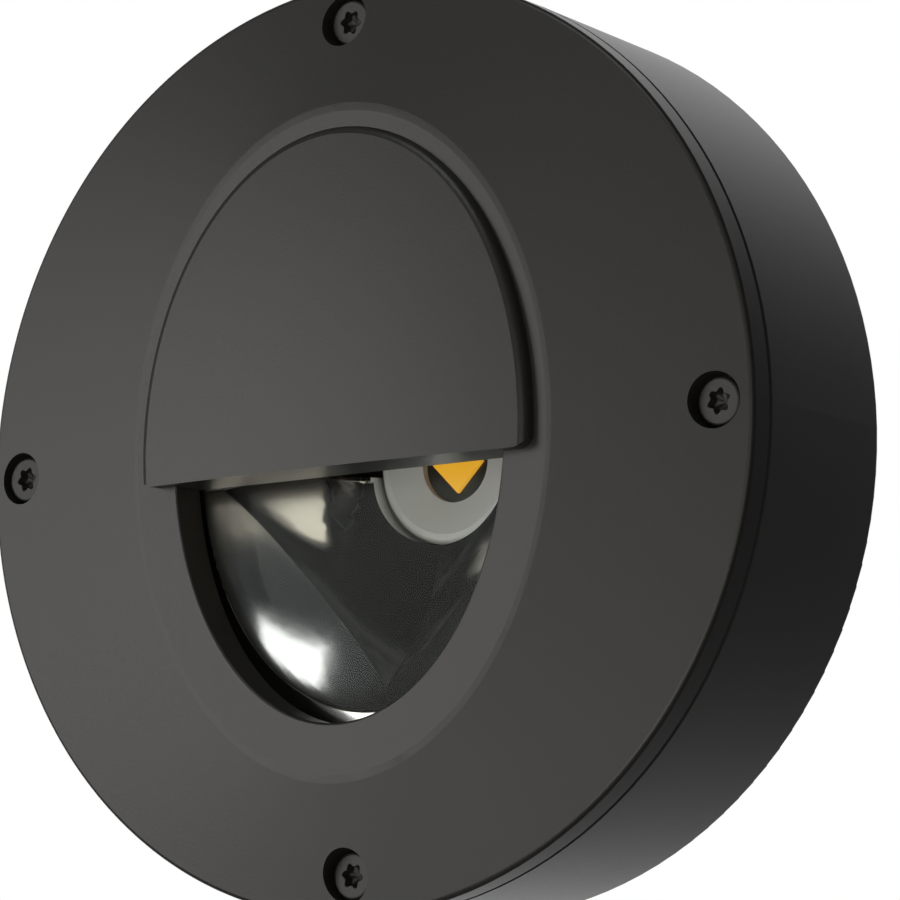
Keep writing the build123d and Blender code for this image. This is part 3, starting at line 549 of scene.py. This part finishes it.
def shaped_reflector(settings):
    """The reflector's solid with a gentler bowl at its mouth and a sloping ledge under its upper lip."""
    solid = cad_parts["reflector"]
    mesh = solid.data.copy()
    mesh.name = "shaped_reflector"
    front = min(vertex.co.y for vertex in mesh.vertices)

    def depth(x, y, z):
        rim = 1 - (x / settings.bowl_across) ** 2 - (z / settings.bowl_along) ** 2
        deep = y - front
        if rim < 0 or deep <= 0:
            return y
        gentle = settings.gentle * settings.bowl_depth * (min(deep, CREASE_DEPTH) / settings.bowl_depth) ** BOWL_POWER
        if deep > CREASE_DEPTH:
            gentle += (deep - CREASE_DEPTH) * (SEAT_DEPTH - gentle) / (SEAT_DEPTH - CREASE_DEPTH)
        ledge = settings.ledge + LEDGE_RISE * (LEDGE_END - abs(x)) - LEDGE_TILT * (z - LEDGE_LEVEL)
        share = LEDGE_SHARE * smooth(*LEDGE_SIDE, abs(x)) * smooth(*LEDGE_FOOT, z)
        over = gentle - ledge
        return front + gentle - share * (over + math.hypot(over, LEDGE_SOFTNESS)) / 2

    def slope(place, axis):
        step = Vector()
        step[axis] = NORMAL_STEP
        return (depth(*(place + step)) - depth(*(place - step))) / (2 * NORMAL_STEP)

    normals = []
    for loop in mesh.loops:
        place = mesh.vertices[loop.vertex_index].co
        normal = mesh.corner_normals[loop.index].vector
        across, rise, along = (slope(place, axis) for axis in range(3))
        lean = normal.y / max(rise, FLATTEST_SLOPE)
        normals.append(Vector((normal.x - across * lean, lean, normal.z - along * lean)).normalized())
    for vertex in mesh.vertices:
        vertex.co.y = depth(*vertex.co)
    mesh.normals_split_custom_set(normals)
    return add_piece("shaped_reflector", mesh)


class LightOperator:
    """What the operators of the wall light share."""

    bl_options = {"REGISTER", "UNDO"}

    def settings(self, context):
        """The wall light's settings."""
        return context.scene.wall_light


class WALLLIGHT_OT_castings(LightOperator, bpy.types.Operator):
    """Coat the housing and the cover"""

    bl_idname = "wall_light.castings"
    bl_label = "Castings"

    def execute(self, context):
        dress(powder_coat(self.settings(context).coat), "wall_housing", "front_cover")
        return {"FINISHED"}


class WALLLIGHT_OT_screws(LightOperator, bpy.types.Operator):
    """Set threaded screws round the cover"""

    bl_idname = "wall_light.screws"
    bl_label = "Cover screws"

    def execute(self, context):
        settings = self.settings(context).screws
        low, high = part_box("cover_screws")
        ring = (high.x - low.x - settings.head) / 2
        head_base = low.y + settings.head_height
        blank = add_piece("screw_blank", screw_mesh(settings, high.y, head_base))
        values = {
            "Count": settings.count,
            "Ring radius": ring,
            "Screw": blank,
            "Material": black_steel(settings).owner,
            "Seed": SCREW_SEED,
        }
        piece = grown("threaded_screws", screw_tree(), values)
        bpy.data.objects.remove(blank)
        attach(piece, "cover")
        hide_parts("cover_screws")
        return {"FINISHED"}


class WALLLIGHT_OT_seals(LightOperator, bpy.types.Operator):
    """Finish the seals and the cable inlet"""

    bl_idname = "wall_light.seals"
    bl_label = "Seals"

    def execute(self, context):
        dress(silicone("silicone", (0.02, 0.02, 0.02)), "cover_gasket", "screw_seals", "glass_gasket", "cable_grommet")
        dress(silicone("foam", (0.04, 0.04, 0.04)), "wall_gasket")
        dress(silicone("thermal_silicone", (0.45, 0.48, 0.52)), "thermal_pad")
        return {"FINISHED"}


class WALLLIGHT_OT_pane(LightOperator, bpy.types.Operator):
    """Finish the pane and its clamp ring"""

    bl_idname = "wall_light.pane"
    bl_label = "Pane"

    def execute(self, context):
        dress(clear_pane(), "front_glass")
        zinc = plated_steel("zinc_steel", (0.62, 0.63, 0.64))
        dress(zinc, "glass_retainer", "retainer_screws", "reflector_screws", "holder_screws")
        dress(zinc, "driver_screws", "block_screws")
        return {"FINISHED"}


class WALLLIGHT_OT_bright_parts(LightOperator, bpy.types.Operator):
    """Finish the reflector and the LED"""

    bl_idname = "wall_light.bright_parts"
    bl_label = "Reflector and LED"

    def execute(self, context):
        settings = self.settings(context).bright
        piece = shaped_reflector(settings)
        piece.data.materials.clear()
        piece.data.materials.append(metal_film(settings).owner)
        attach(piece, "housing")
        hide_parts("reflector")
        dress(moulding("white_ring", settings.ring, 0.4), "led_holder")
        dress(moulding("board_mask", settings.board, 0.2), "led_board")
        dress(phosphor(settings), "led_chip")
        return {"FINISHED"}


class WALLLIGHT_OT_gear(LightOperator, bpy.types.Operator):
    """Finish the driver, the supply block and the leads"""

    bl_idname = "wall_light.gear"
    bl_label = "Gear"

    def execute(self, context):
        dress(moulding("driver_white", (0.72, 0.72, 0.70), 0.5), "driver_case")
        dress(moulding("block_grey", (0.52, 0.53, 0.52), 0.45), "terminal_block")
        dress(plated_steel("brass", (0.72, 0.55, 0.26)), "terminal_screws", "earth_washer", "earth_screw")
        dress(silicone("lead_red", (0.40, 0.03, 0.02)), "led_leads")
        dress(silicone("lead_brown", (0.16, 0.06, 0.025)), "supply_leads")
        return {"FINISHED"}


class WALLLIGHT_OT_stage(LightOperator, bpy.types.Operator):
    """Set up the floor, the lights, the surroundings and the camera"""

    bl_idname = "wall_light.stage"
    bl_label = "Stage"

    def execute(self, context):
        scene = context.scene
        scene.view_settings.view_transform = "Standard"
        self.floor()
        self.surroundings(scene)
        self.lamp("top", direction=(0, 54), distance=1.2, size=(0.58, 0.4), watts=1.35)
        self.camera(self.settings(context).camera, scene)
        return {"FINISHED"}

    def floor(self):
        """A plain pale floor, as far below as a wall light hangs above one."""
        height = CAD_BOX[0].z - FLOOR_DROP
        sides = (-1, -1), (1, -1), (1, 1), (-1, 1)
        mesh = bpy.data.meshes.new("floor")
        mesh.from_pydata([(x * FLOOR_REACH, y * FLOOR_REACH, height) for x, y in sides], [], [(0, 1, 2, 3)])
        piece = add_piece("floor", mesh)
        pale = new_finish("floor")
        shade = pale.mix(pale.noise(50 * MM), *FLOOR_SHADES)
        camera, through = pale.rays("Camera", "Transmission")
        lift = pale.mix(camera + through, BLACK, FLOOR_SHADES[1])
        pale.surface(Base_Color=shade, Roughness=0.8, Emission_Color=lift, Emission_Strength=1.0)
        mesh.materials.append(pale.owner)

    def surroundings(self, scene):
        """A dim studio with soft panels, and a white backdrop for the camera and for what mirrors it."""
        world = bpy.data.worlds.new("studio")
        scene.world = world
        studio = Finish(world)
        ray = studio.node("ShaderNodeTexCoord", out="Generated")
        sky = SKY
        for azimuth, elevation, inner, outer, shade in PANELS:
            sky = studio.mix(self.patch(studio, ray, azimuth, elevation, inner, outer), sky, shade)
        camera, glossy, through = studio.rays("Camera", "Glossy", "Transmission")
        mirrored = self.patch(studio, ray, *BACKDROP) * (glossy + through)
        seen = studio.mix(camera + mirrored, sky, WHITE)
        studio.result(studio.node("ShaderNodeBackground", None, {"Color": seen, "Strength": 1.0}))

    def lamp(self, name, direction, distance, size, watts):
        """A softbox that faces the light from an azimuth and an elevation."""
        data = bpy.data.lights.new(name, "AREA")
        data.shape = "RECTANGLE"
        data.size, data.size_y = size
        data.energy = watts
        lamp = bpy.data.objects.new(name, data)
        lamp.location = distance * heading(*direction)
        lamp.rotation_mode = "QUATERNION"
        lamp.rotation_quaternion = lamp.location.to_track_quat("Z", "Y")
        bpy.context.scene.collection.objects.link(lamp)

    def patch(self, studio, ray, azimuth, elevation, inner, outer):
        """How far a ray lies inside a soft round patch of the sky; angles in degrees."""
        centre = {0: ray, 1: heading(azimuth, elevation)}
        near = studio.node("ShaderNodeVectorMath", {"operation": "DOT_PRODUCT"}, centre, out="Value")
        limits = {"From Min": math.cos(math.radians(outer)), "From Max": math.cos(math.radians(inner))}
        return studio.node("ShaderNodeMapRange", {"interpolation_type": "SMOOTHSTEP"}, {"Value": near, **limits})

    def camera(self, settings, scene):
        """The camera, turned by azimuth, elevation and roll."""
        data = bpy.data.cameras.new("camera")
        data.lens = settings.focal
        data.sensor_width = settings.sensor
        back = heading(math.degrees(settings.azimuth), math.degrees(settings.elevation))
        right = (-back).cross(Vector((0, 0, 1))).normalized()
        up = right.cross(-back)
        across = math.cos(settings.roll) * right + math.sin(settings.roll) * up
        upright = -math.sin(settings.roll) * right + math.cos(settings.roll) * up
        camera = bpy.data.objects.new("camera", data)
        camera.matrix_world = Matrix.Translation(settings.place) @ Matrix((across, upright, back)).transposed().to_4x4()
        scene.collection.objects.link(camera)
        scene.camera = camera


OPERATORS = (
    WALLLIGHT_OT_castings,
    WALLLIGHT_OT_screws,
    WALLLIGHT_OT_seals,
    WALLLIGHT_OT_pane,
    WALLLIGHT_OT_bright_parts,
    WALLLIGHT_OT_gear,
    WALLLIGHT_OT_stage,
)


class WALLLIGHT_PT_panel(bpy.types.Panel):
    """The wall light's steps in the sidebar"""

    bl_idname = "WALLLIGHT_PT_panel"
    bl_label = "Wall Light"
    bl_space_type = "VIEW_3D"
    bl_region_type = "UI"
    bl_category = "Wall Light"

    def draw(self, context):
        for operator in OPERATORS:
            self.layout.operator(operator.bl_idname)


CLASSES = (
    CoatSettings,
    BrightSettings,
    ScrewSettings,
    CameraSettings,
    WallLightSettings,
    *OPERATORS,
    WALLLIGHT_PT_panel,
)


def register():
    """Adds the classes and the settings."""
    for item in CLASSES:
        bpy.utils.register_class(item)
    bpy.types.Scene.wall_light = PointerProperty(type=WallLightSettings)


def unregister():
    """Takes the settings and the classes away."""
    del bpy.types.Scene.wall_light
    for item in reversed(CLASSES):
        bpy.utils.unregister_class(item)


def main():
    """Dresses the light and sets the stage."""
    register()
    for operator in OPERATORS:
        group, name = operator.bl_idname.split(".")
        getattr(getattr(bpy.ops, group), name)()


if __name__ == "__main__":
    main()
